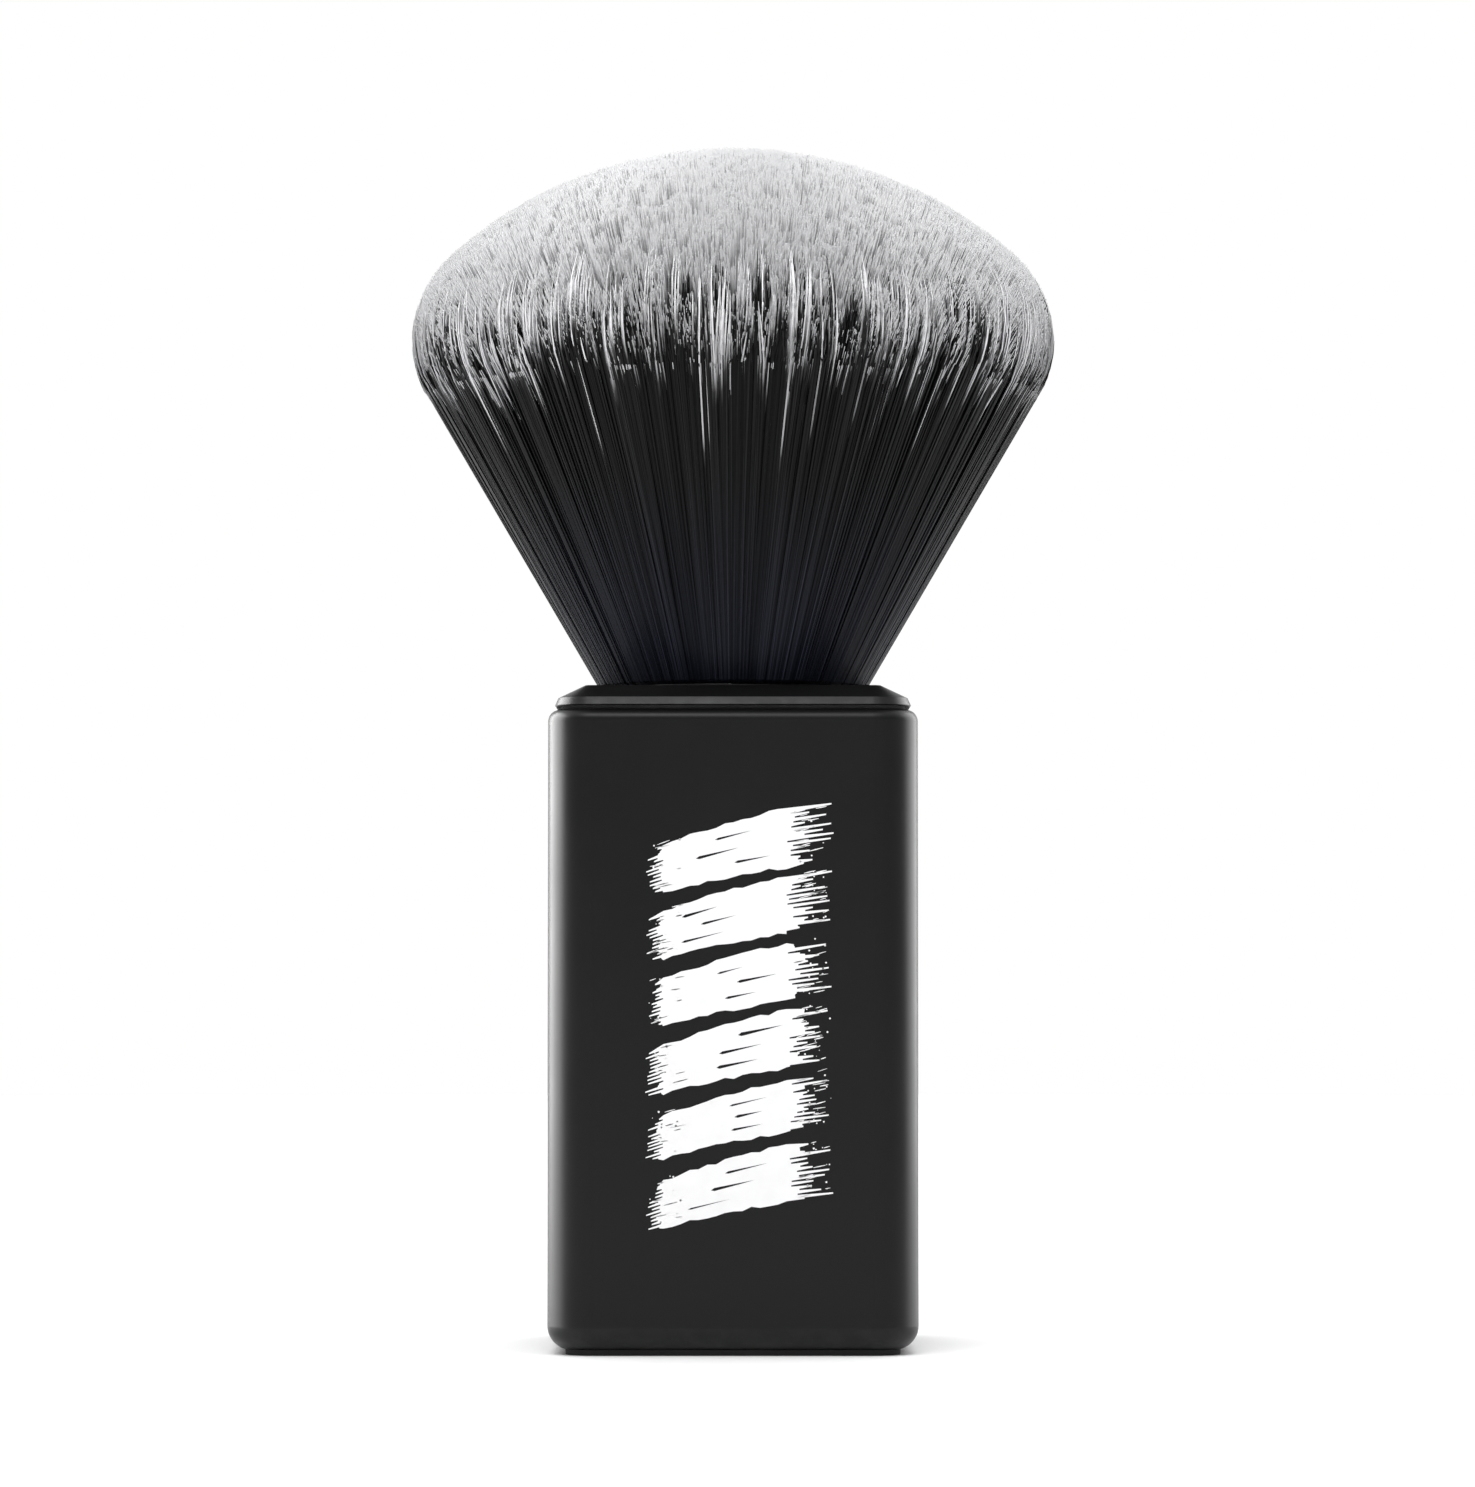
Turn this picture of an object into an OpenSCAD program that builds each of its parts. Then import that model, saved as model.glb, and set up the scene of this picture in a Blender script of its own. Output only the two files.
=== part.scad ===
// Soft round-headed barber's brush on a square, weighted handle.
// The origin is the centre of the foot pad's underside, +Z runs up to the fibre
// tips, and the printed face looks along -Y. All lengths are in millimetres.
//
// The handle is a clamped stack. A bolt from below pulls the knot cup down into
// the cap, which traps the sleeve between the cap's gasket and the base plate.

/* [Handle] */
// Width of the square handle across its flats
handle_w = 32.8; // [32.6:0.2:36]
// Height of the handle, from the foot to the flat top of the cap
handle_h = 59.1; // [58.1:0.2:69.9]
// Radius of the handle's upright corners
corner_r = 4; // [3.8:0.1:4.6]
// Radius round the sleeve's bottom edge
foot_edge_r = 2.1; // [0.6:0.1:2.2]
// Radius round the sleeve's top edge
top_edge_r = 1; // [0.3:0.1:1.1]
// Thickness of the sleeve's wall
sleeve_wall = 2; // [1.6:0.1:2.2]
// How far the foot pad stands proud of the sleeve
pad_proud = 0.4; // [0.2:0.1:0.8]

/* [Cap] */
// Height of the shadow gap between the sleeve and the cap
gap_h = 0.3; // [0.2:0.05:0.5]
// How far the cap's edge is set in from the sleeve's side
cap_inset = 0.6; // [0.4:0.05:0.7]
// Height of the steep chamfer round the cap's edge
chamfer_h = 0.65; // [0.4:0.05:0.8]
// Height of the shallow slope from the chamfer up to the flat top
slope_h = 1.15; // [0.9:0.05:1.3]
// How far in the slope runs
slope_run = 2.4; // [2:0.1:2.6]
// Depth of the square spigot under the cap
spigot_h = 6; // [5:0.5:6]

/* [Fibre head] */
// Diameter of the knot where it leaves the cup
knot_d = 24.2; // [24:0.1:24.4]
// Largest diameter of the head
head_d = 58.4; // [54:0.2:62]
// Height of the head above the cup's lip
loft = 49.25; // [48:0.25:52]
// Angle between the head's flank and its axis, in degrees
flare = 30.4; // [29:0.2:31]
// Radius that rolls the flank over into the dome
rim_r = 10; // [6:0.5:11]

/* [Print] */
// Width of the printed panel of brush strokes
print_w = 16.6; // [14:0.2:18]
// Height of the printed panel
print_h = 38; // [34:0.2:42]
// Number of strokes in the panel
stroke_count = 6; // [5:1:7]
// Slope of the strokes, in degrees
stroke_slope = 13; // [8:1:18]

/* [Bolt and weight] */
// Diameter of the tie bolt
bolt_d = 5; // [4:0.5:5]
// Diameter of the steel weight
weight_d = 24; // [20:1:24]
// Length of the steel weight
weight_h = 16; // [10:1:16]

/* [Hidden] */
$fn = 96;

// Clearance on a radius between parts that slide together
slip = 0.05;
// Clearance on each side between moulded or square parts
loose = 0.1;

// Cap, and the gap below it
cap_land = 0.1;
chamfer_run = 0.3;
cap_h = cap_land + chamfer_h + slope_h;
cap_z = handle_h - cap_h;
cap_w = handle_w - 2 * cap_inset;
cap_corner_r = corner_r - cap_inset;
gasket_setback = 1.1;

// Sleeve
sleeve_z = pad_proud;
sleeve_top = cap_z - gap_h;
sleeve_h = sleeve_top - sleeve_z;
sleeve_in = handle_w - 2 * sleeve_wall;
sleeve_in_r = corner_r - sleeve_wall;
spigot_w = sleeve_in - 2 * loose;
spigot_z = cap_z - spigot_h;
ledge = 0.5;
mouth_in = sleeve_in + 2 * ledge;
mouth_in_r = sleeve_in_r + ledge;

// Foot pad, base plate and bolt head
pad_h = 1.5;
plate_h = 5;
plate_w = mouth_in - 2 * loose;
plate_top = pad_h + plate_h;
bolt_r = bolt_d / 2;
hole_r = bolt_r + 0.25;
head_r = 4.4;
head_h = 2.5;
head_pocket_r = 5.2;
head_pocket_h = 3.6;
washer_h = 0.8;
washer_r = 5;
head_z = pad_h + head_pocket_h - washer_h - head_h;
hex_key = 3;
hex_depth = 1.5;

// Knot cup, with its lip let into the top of the cap
cup_r = 11.4;
cup_bore_r = 10.85;
lip_r = 11.9;
lip_h = 1.1;
lip_proud = 0.25;
lip_edge_r = 0.1;
lip_top = handle_h + lip_proud;
cup_depth = 15.25;
cup_floor_h = 5;
cup_floor = lip_top - cup_depth;
cup_z = cup_floor - cup_floor_h;
gland_z = handle_h - 5.5;
gland_h = 1.1;
gland_r = 12.3;
seal_r = 0.42;
insert_r = 3.6;
insert_h = 4;
flange_h = 0.8;
flange_gain = 0.35;

// Key pin between the cup and its seat
pin_r = 1;
pin_h = 4.6;
pin_x = 9.8;
pin_z = cup_z - 2.4;
pin_hole_h = 5.1;

// Carrier that fills the sleeve
carrier_z = plate_top;
carrier_top = spigot_z - 0.2;
seat_z = cup_z - 0.2;
seat_r = cup_r + 0.15;
lightening_r = 8.4;
web_h = 3;
pocket_r = weight_d / 2 + loose;
pocket_h = weight_h + 0.2;
web_top = carrier_z + pocket_h + web_h;

// Root of the knot inside the cup
bed_t = 0.4;
plug_r = cup_bore_r - bed_t;
plug_z = cup_floor + bed_t;
plug_h = 6;
root_z = plug_z + plug_h;
waist_r = 9.9;
waist_z = root_z + 1.2;
waist_h = 2.4;
thread_turns = 4;
thread_r = waist_h / thread_turns / 2;
root_r = cup_bore_r - 0.2;

// Outline of the head, measured from the apex where its flanks would meet
apex_z = lip_top - knot_d / 2 / tan(flare);
rim_x = head_d / 2 - rim_r;
rim_z = (cos(flare) * rim_x + rim_r) / sin(flare);
crown_z = lip_top + loft - apex_z;
rise = crown_z - rim_z;
dome_r = (rim_x * rim_x + rise * rise - rim_r * rim_r) / (2 * (rise - rim_r));
dome_z = crown_z - dome_r;
flank_end = [rim_x + rim_r * cos(flare), rim_z - rim_r * sin(flare)];
dome_end = [0, dome_z] + [rim_x, rim_z - dome_z] * dome_r / (dome_r - rim_r);
mouth_flare = 0.65;
flank_start = lip_top + mouth_flare - apex_z;

// Printed strokes
print_t = 0.06;
print_z = 29.4;
print_x = 0.6;
slant = tan(stroke_slope);
stroke_fill = 0.8;
pitch = (print_h - print_w * slant) / (stroke_count - 1 + stroke_fill);
stroke_h = pitch * stroke_fill;
hairs = 12;
hair_h = stroke_h / hairs;
spike_steps = [0, 0.3, 0.5, 0.8];
tail_reach = 4.2;
start_reach = 1.6;
edge_steps = 15;
edge_waver = 0.3;
bow_h = 0.5;
taper = 0.14;
streaks = 3;
streak_h = 0.34;
stroke_seed = 31;

// A square with round corners, from its width and corner radius
module round_square(w, r) {
    square([w, w - 2 * r], center = true);
    square([w - 2 * r, w], center = true);
    for (x = [-1, 1], y = [-1, 1])
        translate([x * (w / 2 - r), y * (w / 2 - r)]) circle(r);
}

// A round-cornered square plate or bar standing on z
module square_bar(w, r, z, h) {
    translate([0, 0, z]) linear_extrude(height = h) round_square(w, r);
}

// A drilled hole or a plain rod, standing on z
module rod(r, z, h) {
    translate([0, 0, z]) cylinder(r = r, h = h);
}

// Sweeps an edge outline round a square: a core, four straight sides and four
// quarter-turned corners. The outline is as wide as the corner radius.
module swept_square(w, r, h) {
    side = w / 2 - r;
    translate([-side, -side, 0]) cube([2 * side, 2 * side, h]);
    for (turn = [0:90:270])
        rotate([0, 0, turn]) translate([side, side, 0]) {
            rotate_extrude(angle = 90) children();
            rotate([90, 0, 0]) linear_extrude(height = 2 * side) children();
        }
}

// Quarter of a disc, which rounds an outside edge
module quarter_disc(r) {
    intersection() {
        circle(r);
        square(r);
    }
}

// Edge outline of the sleeve, rounded at its foot and at its top
module sleeve_edge() {
    square([corner_r - foot_edge_r, sleeve_h / 2]);
    translate([0, sleeve_h / 2]) square([corner_r - top_edge_r, sleeve_h / 2]);
    translate([0, foot_edge_r])
        square([corner_r, sleeve_h - foot_edge_r - top_edge_r]);
    translate([corner_r - foot_edge_r, foot_edge_r])
        mirror([0, 1]) quarter_disc(foot_edge_r);
    translate([corner_r - top_edge_r, sleeve_h - top_edge_r])
        quarter_disc(top_edge_r);
}

// Edge outline of the cap: a broken lower edge, a steep chamfer and a shallow slope
module cap_edge() {
    slope_x = cap_corner_r - chamfer_run;
    polygon([[0, 0], [cap_corner_r - cap_land, 0], [cap_corner_r, cap_land],
             [slope_x, cap_land + chamfer_h], [slope_x - slope_run, cap_h], [0, cap_h]]);
}

// Half outline of the fibre head, from the root in the cup to the crown
module head_outline() {
    polygon([[0, root_z - apex_z],
             [plug_r, root_z - apex_z],
             [plug_r, waist_z - apex_z - 0.2],
             [waist_r, waist_z - apex_z],
             [waist_r, waist_z + waist_h - apex_z],
             [root_r, waist_z + waist_h - apex_z + 0.4],
             [root_r, lip_top - apex_z + 0.05],
             [flank_start * tan(flare), flank_start],
             flank_end,
             dome_end,
             [0, dome_end[1]]]);
    translate([rim_x, rim_z]) circle(rim_r);
    intersection() {
        translate([0, dome_z]) circle(dome_r);
        translate([0, dome_end[1]]) square([dome_r, dome_r]);
    }
}

// One ragged end of a stroke: a blunt spike for each hair of the brush, from low to
// high. The outer hairs ran dry first, so the spikes draw in towards both edges.
function ragged_end(side, reach, seed) =
    let (back = rands(0, 1, hairs, seed), cut = rands(0.6, 1, hairs, seed + 1))
    [for (i = [0:hairs - 1], step = spike_steps)
        let (across = abs(2 * (i + 0.5) / hairs - 1),
             in = step < 0.4 ? cut[i] : back[i] * (0.45 + 0.55 * across))
        [side * (print_w / 2 - reach * in), -stroke_h / 2 + (i + step) * hair_h]];

// One wavering long edge of a stroke, between its two ends
function long_edge(side, seed) =
    let (off = rands(0, edge_waver, edge_steps, seed),
         from = print_w / 2 - tail_reach, to = start_reach - print_w / 2)
    [for (i = [0:edge_steps - 1])
        [from + (to - from) * i / (edge_steps - 1), side * (stroke_h / 2 + off[i])]];

// Three long dry streaks inside a stroke, where hairs of the brush left no ink
function dry_streaks(seed) =
    let (x = rands(-0.32, 0, streaks, seed), long = rands(0.12, 0.24, streaks, seed + 1),
         thick = rands(0.5, 1, streaks, seed + 2))
    [for (i = [0:streaks - 1])
        let (y = stroke_h * (0.27 * (i - (streaks - 1) / 2)), half = thick[i] * streak_h / 2,
             x0 = x[i] * print_w, x1 = x0 + long[i] * print_w)
        [[x0, y], [x0 + 0.3, y - half], [x1 - 1, y - half / 2], [x1, y], [x0 + 0.3, y + half]]];

function reversed(list) = [for (i = [len(list) - 1:-1:0]) list[i]];

// Bends flat points of a stroke to its slant, its bow and its taper
function bent(points, swell) =
    [for (p = points)
        let (along = 2 * p[0] / print_w)
        [p[0], p[1] * swell * (1 + taper * along) + p[0] * slant + bow_h * (1 - along * along)]];

// One dry brush stroke, drawn flat. It is a slanted bar with ragged ends.
module stroke(seed) {
    swell = rands(0.84, 1, 1, seed + 9)[0];
    outline = concat(ragged_end(1, tail_reach, seed), long_edge(1, seed + 2),
                     reversed(ragged_end(-1, start_reach, seed + 3)),
                     reversed(long_edge(-1, seed + 5)));
    difference() {
        polygon(bent(outline, swell));
        for (streak = dry_streaks(seed + 6)) polygon(bent(streak, swell));
    }
}

// Bundle of two-tone synthetic fibres, cast at the root and splayed above the cup
module fibre_knot() {
    color("gainsboro")
        translate([0, 0, apex_z]) rotate_extrude() head_outline();
}

// Waxed thread wound tightly round the roots to tie the bundle
module binding_thread() {
    color("antiquewhite")
        rotate_extrude()
            for (turn = [0:thread_turns - 1])
                translate([waist_r + thread_r, waist_z + thread_r * (2 * turn + 1)])
                    circle(thread_r, $fn = 24);
}

// Cast resin disc that locks the fibre roots together
module resin_plug() {
    color("goldenrod") rod(plug_r, plug_z, plug_h);
}

// Bed of adhesive that holds the resin plug in the cup
module knot_adhesive() {
    color("khaki")
        difference() {
            rod(cup_bore_r, cup_floor, bed_t + plug_h);
            rod(plug_r, plug_z, plug_h + 1);
        }
}

// Turned aluminium cup for the knot, with a lip that sits in the cap
module knot_cup() {
    color("dimgray")
        difference() {
            rotate_extrude() {
                translate([0, cup_z]) square([cup_r, lip_top - cup_z]);
                translate([0, handle_h - lip_h])
                    square([lip_r, lip_h + lip_proud - lip_edge_r]);
                translate([0, lip_top - lip_edge_r])
                    square([lip_r - lip_edge_r, lip_edge_r]);
                translate([lip_r - lip_edge_r, lip_top - lip_edge_r])
                    circle(lip_edge_r, $fn = 32);
            }
            rod(cup_bore_r, cup_floor, cup_depth + 1);
            rod(insert_r, cup_z - 1, insert_h + 1);
            rod(bolt_r + slip, cup_z, cup_floor_h);
            translate([pin_x, 0, 0]) rod(pin_r, pin_z, pin_hole_h);
        }
}

// Rubber ring that keeps water out between the cup and the cap
module cup_seal() {
    color("black")
        translate([0, 0, gland_z + gland_h / 2])
            rotate_extrude() translate([cup_r + slip + seal_r, 0]) circle(seal_r, $fn = 32);
}

// Brass insert in the cup's floor, which the tie bolt screws into
module cup_insert() {
    color("gold")
        difference() {
            union() {
                rod(insert_r - flange_gain, cup_z, insert_h);
                rod(insert_r, cup_z, flange_h);
                rod(insert_r, cup_z + insert_h - flange_h, flange_h);
            }
            rod(bolt_r + slip, cup_z - 1, insert_h + 2);
        }
}

// Dowel that stops the cup from turning as the bolt is tightened
module cup_key_pin() {
    color("silver") translate([pin_x, 0, 0]) rod(pin_r, pin_z, pin_h);
}

// Square cap: a chamfered plate over a spigot that fits inside the sleeve
module top_cap() {
    color([0.17, 0.17, 0.17])
        difference() {
            union() {
                translate([0, 0, cap_z]) swept_square(cap_w, cap_corner_r, cap_h) cap_edge();
                square_bar(spigot_w, sleeve_in_r, spigot_z, spigot_h + cap_h / 2);
            }
            rod(cup_r + slip, spigot_z - 1, spigot_h + cap_h + 2);
            rod(lip_r + slip, handle_h - lip_h, lip_h + 1);
            rod(gland_r, gland_z, gland_h);
        }
}

// Set-back gasket that forms the shadow gap and seals the joint
module gap_gasket() {
    color("black")
        difference() {
            square_bar(handle_w - 2 * gasket_setback, corner_r - gasket_setback,
                       sleeve_top, gap_h);
            square_bar(spigot_w + loose, sleeve_in_r, sleeve_top - 1, gap_h + 2);
        }
}

// Satin black aluminium tube, with a ledge inside its foot for the base plate
module handle_sleeve() {
    color([0.17, 0.17, 0.17])
        difference() {
            translate([0, 0, sleeve_z])
                swept_square(handle_w, corner_r, sleeve_h) sleeve_edge();
            square_bar(sleeve_in, sleeve_in_r, -1, handle_h + 2);
            square_bar(mouth_in, mouth_in_r, -1, plate_top + 1);
        }
}

// White print on the front face: a column of slanted dry brush strokes
module front_print() {
    color("white")
        translate([print_x, -handle_w / 2, print_z])
            rotate([90, 0, 0])
                linear_extrude(height = print_t)
                    for (i = [0:stroke_count - 1])
                        translate([0, (i - (stroke_count - 1) / 2) * pitch])
                            stroke(stroke_seed + 10 * i);
}

// Moulded carrier: weight pocket below, web with the bolt hole, cup seat above
module core_carrier() {
    color("slategray")
        difference() {
            square_bar(sleeve_in - 3 * loose, sleeve_in_r, carrier_z,
                       carrier_top - carrier_z);
            rod(pocket_r, carrier_z - 1, pocket_h + 1);
            rod(hole_r, carrier_z, carrier_top - carrier_z);
            rod(lightening_r, web_top, carrier_top - web_top);
            rod(seat_r, seat_z, carrier_top - seat_z + 1);
            translate([pin_x, 0, 0]) rod(pin_r, pin_z - 0.2, pin_hole_h);
        }
}

// Steel slug that keeps the brush standing upright
module counterweight() {
    color("gray")
        difference() {
            rod(weight_d / 2, carrier_z, weight_h);
            rod(hole_r, carrier_z - 1, weight_h + 2);
        }
}

// Steel plate that closes the foot and bears up against the sleeve's ledge
module base_plate() {
    color("darkgray")
        difference() {
            square_bar(plate_w, mouth_in_r - loose, pad_h, plate_h);
            rod(head_pocket_r, pad_h - 1, head_pocket_h + 1);
            rod(hole_r, pad_h, plate_h + 1);
        }
}

// Low-head socket screw that clamps the whole stack together
module tie_bolt() {
    color("silver")
        difference() {
            union() {
                rod(head_r, head_z, head_h);
                rod(bolt_r, head_z, cup_z + insert_h - head_z);
            }
            translate([0, 0, head_z - 1])
                cylinder(d = hex_key / cos(30), h = hex_depth + 1, $fn = 6);
        }
}

// Flat washer between the bolt head and the base plate
module bolt_washer() {
    color("silver")
        difference() {
            rod(washer_r, head_z + head_h, washer_h);
            rod(hole_r, head_z + head_h - 1, washer_h + 2);
        }
}

// Non-slip pad that covers the base plate and is the face the brush stands on
module base_pad() {
    color("black") square_bar(plate_w, mouth_in_r - loose, 0, pad_h);
}

fibre_knot();
binding_thread();
resin_plug();
knot_adhesive();
knot_cup();
cup_seal();
cup_insert();
cup_key_pin();
top_cap();
gap_gasket();
handle_sleeve();
front_print();
core_carrier();
counterweight();
base_plate();
tie_bolt();
bolt_washer();
base_pad();
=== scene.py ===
# Soft round-headed barber's brush on a square, weighted handle.
#
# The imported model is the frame: the handle, the cap and the inner pieces stay as they are
# and get their finishes here. The fibre head, the binding thread and the fine hairs of the
# print are made here, strand by strand. Everything is in metres with +Z up, the underside
# of the foot is at the origin, and the printed face looks along -Y.
# The sections follow the brush as it is put together on the bench.

import math
import random

import bmesh
import bpy
import numpy
from mathutils import Matrix, Vector


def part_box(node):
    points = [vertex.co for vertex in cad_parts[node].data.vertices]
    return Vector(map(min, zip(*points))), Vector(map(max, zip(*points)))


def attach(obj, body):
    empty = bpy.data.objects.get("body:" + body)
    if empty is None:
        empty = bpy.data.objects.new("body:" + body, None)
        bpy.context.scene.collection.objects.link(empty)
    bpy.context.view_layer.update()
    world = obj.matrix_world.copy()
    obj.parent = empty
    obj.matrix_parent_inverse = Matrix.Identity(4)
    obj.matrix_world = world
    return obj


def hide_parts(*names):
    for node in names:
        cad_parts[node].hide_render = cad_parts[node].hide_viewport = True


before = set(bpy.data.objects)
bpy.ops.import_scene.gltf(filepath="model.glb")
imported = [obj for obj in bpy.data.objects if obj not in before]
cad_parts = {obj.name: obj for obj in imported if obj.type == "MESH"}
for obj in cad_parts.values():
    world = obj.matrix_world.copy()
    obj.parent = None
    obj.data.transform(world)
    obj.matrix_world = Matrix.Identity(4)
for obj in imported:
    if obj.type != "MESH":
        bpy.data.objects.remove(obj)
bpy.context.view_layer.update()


# ---- Camera and studio -----------------------------------------------------------------
# The brush stands on a pale bench in a bright studio, seen level with the middle of its
# handle through a long lens, and the camera is tipped up a little to centre the brush.
camera_reach = 0.5
eye_height = 0.032
aim_point = Vector((0.0004, 0, 0.0545))
camera_data = bpy.data.cameras.new("camera")
camera_data.sensor_width = 36
camera_data.lens = 133.2
camera_data.clip_start = 0.01
camera = bpy.data.objects.new("camera", camera_data)
camera.location = (aim_point.x, -camera_reach, eye_height)
camera.rotation_euler = (aim_point - camera.location).to_track_quat("-Z", "Y").to_euler()
bpy.context.scene.collection.objects.link(camera)
bpy.context.scene.camera = camera
bpy.context.scene.view_settings.view_transform = "Standard"


def new_finish(name, **settings):
    """A new surface finish: the material, its node tree and its shader."""
    finish = bpy.data.materials.new(name)
    finish.use_nodes = True
    shader = finish.node_tree.nodes["Principled BSDF"]
    for socket, value in settings.items():
        shader.inputs[socket.replace("_", " ")].default_value = value
    return finish, finish.node_tree, shader


def add(tree, kind, inputs=None, **settings):
    """Adds a node to a tree, sets it, and wires or sets its inputs."""
    node = tree.nodes.new("ShaderNode" + kind)
    for setting, value in settings.items():
        setattr(node, setting, value)
    for socket, value in (inputs or {}).items():
        if isinstance(value, bpy.types.NodeSocket):
            tree.links.new(value, node.inputs[socket])
        else:
            node.inputs[socket].default_value = value
    return node


def noise(tree, where, scale, detail=2.0, rough=0.5):
    """Cloudy variation of that many lumps to the metre, on a position."""
    inputs = {"Vector": where, "Scale": scale, "Detail": detail, "Roughness": rough}
    return add(tree, "TexNoise", inputs).outputs[0]


def blend(tree, share, first, second):
    """Mixes two colours."""
    node = add(tree, "Mix", {0: share}, data_type="RGBA")
    for socket, value in ((node.inputs[6], first), (node.inputs[7], second)):
        if isinstance(value, bpy.types.NodeSocket):
            tree.links.new(value, socket)
        else:
            socket.default_value = (*value, 1)
    return node.outputs[2]


bench_r = 1.2
bench_colour = (0.96, 0.96, 0.962)
bench_mesh = bmesh.new()
bmesh.ops.create_circle(bench_mesh, cap_ends=True, radius=bench_r, segments=128)
bench = bpy.data.objects.new("bench", bpy.data.meshes.new("bench"))
bench_mesh.to_mesh(bench.data)
bench_mesh.free()
bpy.context.scene.collection.objects.link(bench)
bench_finish, tree, shader = new_finish("bench_laminate", Roughness=0.7)
place = add(tree, "TexCoord").outputs["Object"]
mottle = noise(tree, place, 40, 3)
tree.links.new(blend(tree, mottle, bench_colour, [c * 1.02 for c in bench_colour]),
               shader.inputs["Base Color"])
bench.data.materials.append(bench_finish)


def spread(tree, value, low, high, to_low=0.0, to_high=1.0):
    """Stretches a value from the range low..high to the range to_low..to_high."""
    inputs = {0: value, 1: low, 2: high, 3: to_low, 4: to_high}
    return add(tree, "MapRange", inputs).outputs[0]


def ramp(tree, value, stops):
    """Colours a value from 0 to 1 by a list of (place, colour) stops."""
    node = add(tree, "ValToRGB", {0: value})
    while len(node.color_ramp.elements) < len(stops):
        node.color_ramp.elements.new(1)
    for element, (place, colour) in zip(node.color_ramp.elements, stops):
        element.position = place
        element.color = (*colour, 1)
    return node.outputs[0]


# What the brush mirrors: a dim front, dark sides, a lighter wall behind it, and a bright
# ceiling that keeps the bench white all the way back.
studio = bpy.data.worlds.new("studio")
studio.use_nodes = True
bpy.context.scene.world = studio
tree = studio.node_tree
direction = add(tree, "SeparateXYZ", {0: add(tree, "TexCoord").outputs["Generated"]})
walls = ramp(tree, spread(tree, direction.outputs["Y"], -1, 1),
             [(0, (0.30, 0.30, 0.30)), (0.12, (0.13, 0.13, 0.13)),
              (0.50, (0.13, 0.13, 0.13)), (0.80, (0.60, 0.60, 0.61)),
              (1, (1.0, 1.0, 1.0))])
ceiling = spread(tree, direction.outputs["Z"], 0.30, 0.75)
room = blend(tree, ceiling, walls, (1.12, 1.12, 1.13))
seen = add(tree, "LightPath").outputs["Is Camera Ray"]
sky = blend(tree, seen, room, (1, 1, 1))
tree.links.new(sky, tree.nodes["Background"].inputs["Color"])

# (name, place, width, height, power, what it lights) of each soft light, all aimed at the
# brush. The strips draw the bright upright edges of the handle and are flagged off the
# head, the two head lights are flagged off the handle, and one light is for the bench.
handle_only = bpy.data.collections.new("handle_only")
head_only = bpy.data.collections.new("head_only")
bench_only = bpy.data.collections.new("bench_only")
bench_only.objects.link(bench)
light_aim = Vector((0, 0, 0.06))
soft_lights = [
    ("top_softbox", (-0.10, -0.62, 0.80), 0.50, 0.40, 3.0, None),
    ("left_strip", (-0.53, 0.20, 0.10), 0.62, 0.80, 19.0, handle_only),
    ("right_strip", (0.49, 0.28, 0.10), 0.54, 0.80, 7.0, handle_only),
    ("bench_light", (0, 0.10, 1.60), 2.40, 2.40, 20.0, bench_only),
    ("head_light_left", (-0.72, -0.24, 0.40), 0.50, 0.50, 5.2, head_only),
    ("head_light_right", (0.72, -0.24, 0.40), 0.50, 0.50, 4.4, head_only),
]
for name, where, width, height, power, lit in soft_lights:
    light = bpy.data.lights.new(name, "AREA")
    light.shape = "RECTANGLE"
    light.size = width
    light.size_y = height
    light.energy = power
    lamp = bpy.data.objects.new(name, light)
    lamp.location = where
    toward = light_aim - lamp.location
    lamp.rotation_euler = toward.to_track_quat("-Z", "Y").to_euler()
    lamp.light_linking.receiver_collection = lit
    bpy.context.scene.collection.objects.link(lamp)


# ---- Fibre head ------------------------------------------------------------------------
# A bundle of very soft polyester fibres, dyed black from the root and left white at the
# tip, with each fibre's dye ending at its own height. They splay as if from one point
# below the cup's lip, and the tips are shaped to a dome that rolls over into the flanks.
head_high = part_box("fibre_knot")[1]
lip_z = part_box("knot_cup")[1].z
neck_r = 0.0121
flare = math.radians(30.4)
rim_roll = 0.010
splay_z = lip_z - neck_r / math.tan(flare)
rim_x = head_high.x - rim_roll
rim_centre = Vector((rim_x, (math.cos(flare) * rim_x + rim_roll) / math.sin(flare)))
crown = head_high.z - splay_z
rise = crown - rim_centre.y
dome_r = (rim_x**2 + rise**2 - rim_roll**2) / (2 * (rise - rim_roll))
dome_centre = Vector((0, crown - dome_r))
rim_end = dome_centre + (rim_centre - dome_centre) * dome_r / (dome_r - rim_roll)
dome_tilt = math.atan2(rim_end.x, rim_end.y)
neck_reach = (lip_z + 0.0003 - splay_z) / math.cos(flare)
fibre_r = 0.00008
dye_reach = 0.0528
dye_fade = 0.0044
tip_reach = 0.0655


def head_reach(tilt):
    """Distance from the splay point to the head's surface along a fibre at that tilt."""
    along = Vector((math.sin(tilt), math.cos(tilt)))
    centre, radius = (rim_centre, rim_roll) if tilt > dome_tilt else (dome_centre, dome_r)
    nearest = centre.dot(along)
    return nearest + math.sqrt(max(0, nearest**2 - centre.length_squared + radius**2))


def on_fibre(reach, tilt, azimuth):
    """The point of a fibre that far from the splay point."""
    across = reach * math.sin(tilt)
    return (across * math.cos(azimuth), across * math.sin(azimuth),
            splay_z + reach * math.cos(tilt))


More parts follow.
